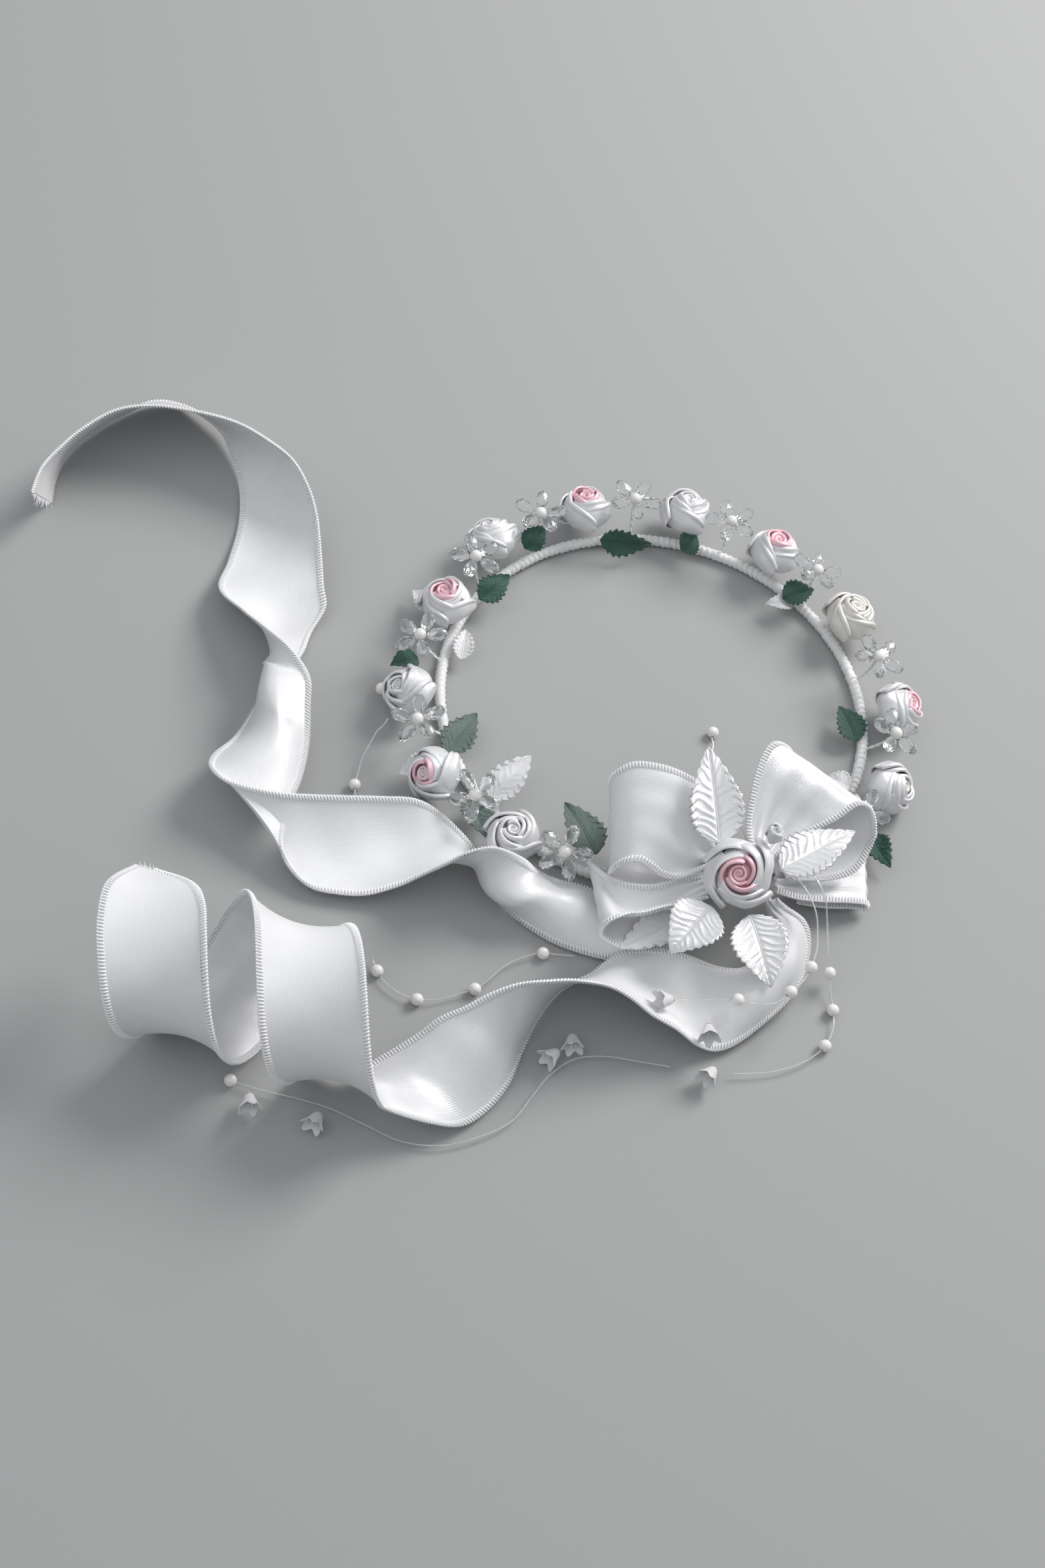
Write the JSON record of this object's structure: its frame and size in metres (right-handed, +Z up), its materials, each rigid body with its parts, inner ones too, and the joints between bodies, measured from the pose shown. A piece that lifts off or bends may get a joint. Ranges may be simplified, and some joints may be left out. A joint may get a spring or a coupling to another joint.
{
  "type": "flower crown",
  "caption": "Round taped-wire head ring set with ribbon roses, clear bead flowers and leaves, with a ribbon bow and two long curled ribbon tails.",
  "frame": {"origin": "centre of the head ring on the table the crown lies on", "axes": "+Z up through the ring, away from the table; +Y from the bow side of the ring towards the far side; +X to the right as seen facing the bow"},
  "size_m": [0.3748, 0.3302, 0.0563],
  "materials": {
    "steel_wire": "drawn steel wire",
    "paper_tape": "white florist tape, wound in narrow overlapping turns",
    "satin_white": "white satin with a soft sheen",
    "satin_pink": "white satin with a pale pink heart",
    "satin_ivory": "ivory satin with a soft sheen",
    "clear_acrylic": "clear faceted plastic",
    "pearl": "cream pearl coating",
    "stem_plastic": "white plastic-covered wire",
    "green_fabric": "dark green stiffened twill",
    "organza": "sheer white stiffened organza",
    "leaf_satin": "white satin pressed with veins",
    "clear_nylon": "clear nylon filament",
    "ribbon_satin": "glossy white satin with overlocked wired edges"
  },
  "bodies": {
    "root": {"hoop_wire": "steel_wire", "hoop_wrap": "paper_tape", "rose_01": "satin_white", "rose_02": "satin_pink", "rose_03": "satin_white", "rose_04": "satin_pink", "rose_05": "satin_ivory", "rose_06": "satin_pink", "rose_07": "satin_white", "rose_08": "satin_pink", "rose_09": "satin_white", "rose_10": "satin_pink", "rose_11": "satin_white", "bead_flower_01": "clear_acrylic", "bead_flower_02": "clear_acrylic", "bead_flower_03": "clear_acrylic", "bead_flower_04": "clear_acrylic", "bead_flower_05": "clear_acrylic", "bead_flower_06": "clear_acrylic", "bead_flower_07": "clear_acrylic", "bead_flower_08": "clear_acrylic", "bead_flower_09": "clear_acrylic", "bead_flower_10": "clear_acrylic", "bead_flower_11": "clear_acrylic", "bead_flower_12": "clear_acrylic", "flower_pearls": "pearl", "flower_stems": "stem_plastic", "green_leaves_back": "green_fabric", "green_leaves_left": "green_fabric", "green_leaves_right": "green_fabric", "white_leaves_left": "organza", "white_leaves_right": "organza", "bow_knot": "ribbon_satin", "bow_tie_wire": "steel_wire", "bow_loop_back_left": "ribbon_satin", "bow_loop_front_left": "ribbon_satin", "bow_loop_back_right": "ribbon_satin", "bow_loop_front_right": "ribbon_satin", "tail_left": "ribbon_satin", "tail_right": "ribbon_satin", "bow_rose": "satin_pink", "bow_bud": "organza", "bow_leaf_back": "leaf_satin", "bow_leaf_right": "leaf_satin", "bow_leaf_front_left": "leaf_satin", "bow_leaf_front_right": "leaf_satin", "bow_leaf_left": "organza", "filament_a": "clear_nylon", "filament_b": "clear_nylon", "filament_c": "clear_nylon", "filament_d": "clear_nylon", "filament_e": "clear_nylon", "filament_f": "clear_nylon", "spray_pearls": "pearl", "spray_bells": "organza"}
  },
  "joints": []
}
